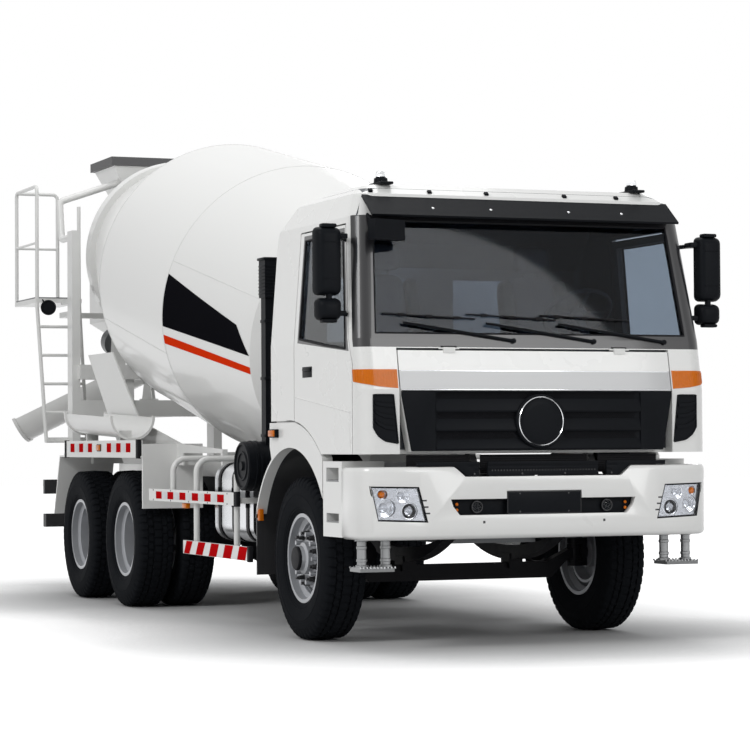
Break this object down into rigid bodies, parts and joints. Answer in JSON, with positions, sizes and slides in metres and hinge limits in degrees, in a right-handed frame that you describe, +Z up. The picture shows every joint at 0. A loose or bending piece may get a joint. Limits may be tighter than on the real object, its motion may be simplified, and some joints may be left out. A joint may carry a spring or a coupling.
{
  "type": "concrete mixer truck",
  "caption": "Three-axle concrete mixer truck with a forward-control day cab, inclined drum, rear hoppers, ladder platform and swinging chute.",
  "frame": {"origin": "on the ground, at the middle of the overall box", "axes": "+X forward, +Y to the truck's left, +Z up"},
  "size_m": [9.4932, 2.88, 3.9798],
  "materials": {
    "black_paint": "satin",
    "black_plastic": "satin",
    "bright_metal": "polished",
    "glass": "gloss",
    "grey_plastic": "satin",
    "grey_steel": "satin",
    "lamp_lens": "gloss",
    "seat_fabric": "matte",
    "silver_rim": "satin",
    "tyre_rubber": "matte",
    "white_paint": "gloss"
  },
  "bodies": {
    "chassis": {"chassis_frame": "black_paint", "front_axle": "black_paint", "engine": "grey_steel", "rear_axles": "black_paint", "rear_springs": "black_paint", "body_frame": "white_paint", "front_pedestal": "white_paint", "rear_pedestal": "white_paint", "discharge_hopper": "white_paint", "charging_hopper": "white_paint", "platform_and_ladder": "white_paint", "rear_mudguards": "white_paint", "side_guards": "white_paint", "fuel_tank": "bright_metal", "left_tanks": "black_paint", "air_intake": "black_plastic", "rear_underrun": "black_paint", "spare_chute": "white_paint", "front_bumper": "white_paint", "headlamps": "lamp_lens", "bumper_slot": "black_plastic", "cab_steps": "white_paint", "front_mudguards": "white_paint"},
    "knuckle_right": {"knuckle_right": "black_paint"},
    "knuckle_left": {"knuckle_left": "black_paint"},
    "front_wheel_right": {"tyre_1_right": "tyre_rubber", "rim_1_right": "silver_rim"},
    "front_wheel_left": {"tyre_1_left": "tyre_rubber", "rim_1_left": "silver_rim"},
    "wheels_2_right": {"tyres_2_right": "tyre_rubber", "rims_2_right": "silver_rim"},
    "wheels_2_left": {"tyres_2_left": "tyre_rubber", "rims_2_left": "silver_rim"},
    "wheels_3_right": {"tyres_3_right": "tyre_rubber", "rims_3_right": "silver_rim"},
    "wheels_3_left": {"tyres_3_left": "tyre_rubber", "rims_3_left": "silver_rim"},
    "drum": {"drum": "white_paint"},
    "roller_right": {"drum_roller_right": "grey_steel"},
    "roller_left": {"drum_roller_left": "grey_steel"},
    "cab": {"cab_shell": "white_paint", "cab_glass": "glass", "cab_fittings": "black_plastic", "dashboard": "grey_plastic", "seats": "seat_fabric"},
    "front_lid": {"front_lid": "black_plastic"},
    "door_right": {"door_right": "white_paint", "door_glass_right": "glass", "door_mirrors_right": "black_plastic"},
    "door_left": {"door_left": "white_paint", "door_glass_left": "glass", "door_mirrors_left": "black_plastic"},
    "chute_swivel": {"chute_swivel": "white_paint"},
    "chute": {"chute": "white_paint"},
    "jack_body": {"jack_body": "white_paint"},
    "jack_rod": {"jack_rod": "grey_steel"}
  },
  "joints": [
    {"name": "steer_right", "type": "hinge", "parent": "chassis", "child": "knuckle_right", "pos_m": [3.3866, -0.865, 0.542], "axis": [0, 0, 1], "range_deg": [-35, 35]},
    {"name": "steer_left", "type": "hinge", "parent": "chassis", "child": "knuckle_left", "pos_m": [3.3866, 0.865, 0.542], "axis": [0, 0, 1], "range_deg": [-35, 35]},
    {"name": "front_wheel_right_spin", "type": "hinge", "parent": "knuckle_right", "child": "front_wheel_right", "pos_m": [3.3866, -1.015, 0.542], "axis": [0, 1, 0], "continuous": true},
    {"name": "front_wheel_left_spin", "type": "hinge", "parent": "knuckle_left", "child": "front_wheel_left", "pos_m": [3.3866, 1.015, 0.542], "axis": [0, 1, 0], "continuous": true},
    {"name": "wheels_2_right_spin", "type": "hinge", "parent": "chassis", "child": "wheels_2_right", "pos_m": [-0.5884, -0.914, 0.542], "axis": [0, 1, 0], "continuous": true},
    {"name": "wheels_2_left_spin", "type": "hinge", "parent": "chassis", "child": "wheels_2_left", "pos_m": [-0.5884, 0.914, 0.542], "axis": [0, 1, 0], "continuous": true},
    {"name": "wheels_3_right_spin", "type": "hinge", "parent": "chassis", "child": "wheels_3_right", "pos_m": [-1.9384, -0.914, 0.542], "axis": [0, 1, 0], "continuous": true},
    {"name": "wheels_3_left_spin", "type": "hinge", "parent": "chassis", "child": "wheels_3_left", "pos_m": [-1.9384, 0.914, 0.542], "axis": [0, 1, 0], "continuous": true},
    {"name": "drum_turn", "type": "hinge", "parent": "chassis", "child": "drum", "pos_m": [2.3866, 0, 1.932], "axis": [-0.9796, 0, 0.2011], "continuous": true},
    {"name": "roller_right_turn", "type": "hinge", "parent": "chassis", "child": "roller_right", "pos_m": [-3.16537, -0.53064, 2.2375], "axis": [-0.9796, 0, 0.2011], "continuous": true},
    {"name": "roller_left_turn", "type": "hinge", "parent": "chassis", "child": "roller_left", "pos_m": [-3.16537, 0.53064, 2.2375], "axis": [-0.9796, 0, 0.2011], "continuous": true},
    {"name": "cab_tilt", "type": "hinge", "parent": "chassis", "child": "cab", "pos_m": [4.6216, 0, 1.05], "axis": [0, 1, 0], "range_deg": [0, 50]},
    {"name": "front_lid_lift", "type": "hinge", "parent": "cab", "child": "front_lid", "pos_m": [4.6226, 0, 1.898], "axis": [0, -1, 0], "range_deg": [0, 80]},
    {"name": "door_right_swing", "type": "hinge", "parent": "cab", "child": "door_right", "pos_m": [4.5466, -1.225, 1.9], "axis": [0, 0, 1], "range_deg": [0, 70]},
    {"name": "door_left_swing", "type": "hinge", "parent": "cab", "child": "door_left", "pos_m": [4.5466, 1.225, 1.9], "axis": [0, 0, -1], "range_deg": [0, 70]},
    {"name": "chute_swing", "type": "hinge", "parent": "chassis", "child": "chute_swivel", "pos_m": [-3.9134, 0, 1.6], "axis": [0, 0, -1], "range_deg": [0, 120]},
    {"name": "chute_lift", "type": "hinge", "parent": "chute_swivel", "child": "chute", "pos_m": [-3.9134, 0, 1.85], "axis": [-0.866, 0.5, 0], "range_deg": [-8, 12]},
    {"name": "jack_swing", "type": "hinge", "parent": "chute_swivel", "child": "jack_body", "pos_m": [-3.9609, -0.08227, 1.44], "axis": [-0.866, 0.5, 0], "range_deg": [-15, 15]},
    {"name": "jack_stroke", "type": "slide", "parent": "jack_body", "child": "jack_rod", "axis": [-0.4773, -0.8268, 0.2977], "range_m": [-0.07, 0.1]}
  ],
  "couplings": [
    {"joint": "steer_left", "follows": "steer_right", "ratio": 1},
    {"joint": "roller_right_turn", "follows": "drum_turn", "ratio": -6.4923},
    {"joint": "roller_left_turn", "follows": "drum_turn", "ratio": -6.4923},
    {"joint": "jack_swing", "follows": "chute_lift", "ratio": 0.91},
    {"joint": "jack_stroke", "follows": "chute_lift", "m_per_rad": 0.42}
  ]
}
